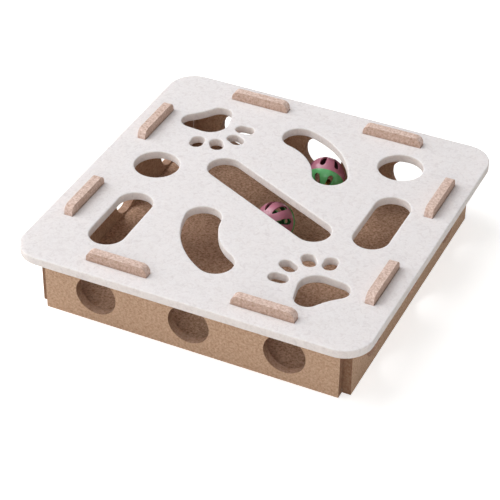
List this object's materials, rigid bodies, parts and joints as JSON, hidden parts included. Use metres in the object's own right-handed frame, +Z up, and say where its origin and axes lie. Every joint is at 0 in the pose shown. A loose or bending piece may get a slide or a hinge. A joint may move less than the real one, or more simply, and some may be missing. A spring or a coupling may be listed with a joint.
{
  "type": "cat puzzle box",
  "caption": "Low square board tray with round side ports under a thick felt top with paw openings, holding loose rattle balls for a cat to fish for.",
  "frame": {"origin": "on the table under the middle of the box", "axes": "+Z up, +X to the right along the front wall, -Y out of the front wall"},
  "size_m": [0.25, 0.25, 0.0563],
  "materials": {
    "felt": "white needle felt",
    "wall_board": "plain brown fibreboard",
    "floor_board": "plain brown fibreboard",
    "pink_plastic": "glossy pink",
    "green_plastic": "glossy green",
    "bell_brass": "bright brass",
    "pellet_steel": "plain steel"
  },
  "bodies": {
    "box": {"floor_panel": "floor_board", "front_wall": "wall_board", "back_wall": "wall_board", "left_wall": "wall_board", "right_wall": "wall_board"},
    "top": {"felt_top": "felt"},
    "bell_1": {"bell_1_shell": "bell_brass", "bell_1_loop": "bell_brass"},
    "ball_1": {"ball_1_pink_half": "pink_plastic", "ball_1_green_half": "green_plastic"},
    "pellet_1": {"bell_1_pellet": "pellet_steel"},
    "bell_2": {"bell_2_shell": "bell_brass", "bell_2_loop": "bell_brass"},
    "ball_2": {"ball_2_pink_half": "pink_plastic", "ball_2_green_half": "green_plastic"},
    "pellet_2": {"bell_2_pellet": "pellet_steel"},
    "bell_3": {"bell_3_shell": "bell_brass", "bell_3_loop": "bell_brass"},
    "ball_3": {"ball_3_pink_half": "pink_plastic", "ball_3_green_half": "green_plastic"},
    "pellet_3": {"bell_3_pellet": "pellet_steel"}
  },
  "joints": [
    {"name": "top_lift", "type": "slide", "parent": "box", "child": "top", "axis": [0, 0, 1], "range_m": [0, 0.04]},
    {"name": "ball_1_travel", "type": "slide", "parent": "box", "child": "bell_1", "axis": [1, 0, 0], "range_m": [-0.1032, 0.0798]},
    {"name": "ball_1_roll", "type": "hinge", "parent": "bell_1", "child": "ball_1", "pos_m": [0.0117, 0.0839, 0.0203], "axis": [0, 1, 0], "range_deg": [-423, 327]},
    {"name": "pellet_1_rattle", "type": "slide", "parent": "bell_1", "child": "pellet_1", "axis": [0, 0, 1], "range_m": [0, 0.005]},
    {"name": "ball_2_travel", "type": "slide", "parent": "box", "child": "bell_2", "axis": [1, 0, 0], "range_m": [-0.0938, 0.0892]},
    {"name": "ball_2_roll", "type": "hinge", "parent": "bell_2", "child": "ball_2", "pos_m": [0.0023, 0.0172, 0.0203], "axis": [0, 1, 0], "range_deg": [-384, 366]},
    {"name": "pellet_2_rattle", "type": "slide", "parent": "bell_2", "child": "pellet_2", "axis": [0, 0, 1], "range_m": [0, 0.005]},
    {"name": "ball_3_travel", "type": "slide", "parent": "box", "child": "bell_3", "axis": [1, 0, 0], "range_m": [-0.1175, 0.0655]},
    {"name": "ball_3_roll", "type": "hinge", "parent": "bell_3", "child": "ball_3", "pos_m": [0.026, -0.088, 0.0203], "axis": [0, 1, 0], "range_deg": [-481, 269]},
    {"name": "pellet_3_rattle", "type": "slide", "parent": "bell_3", "child": "pellet_3", "axis": [0, 0, 1], "range_m": [0, 0.005]}
  ],
  "couplings": [
    {"joint": "ball_1_roll", "follows": "ball_1_travel", "rad_per_m": 71.429},
    {"joint": "ball_2_roll", "follows": "ball_2_travel", "rad_per_m": 71.429},
    {"joint": "ball_3_roll", "follows": "ball_3_travel", "rad_per_m": 71.429}
  ]
}
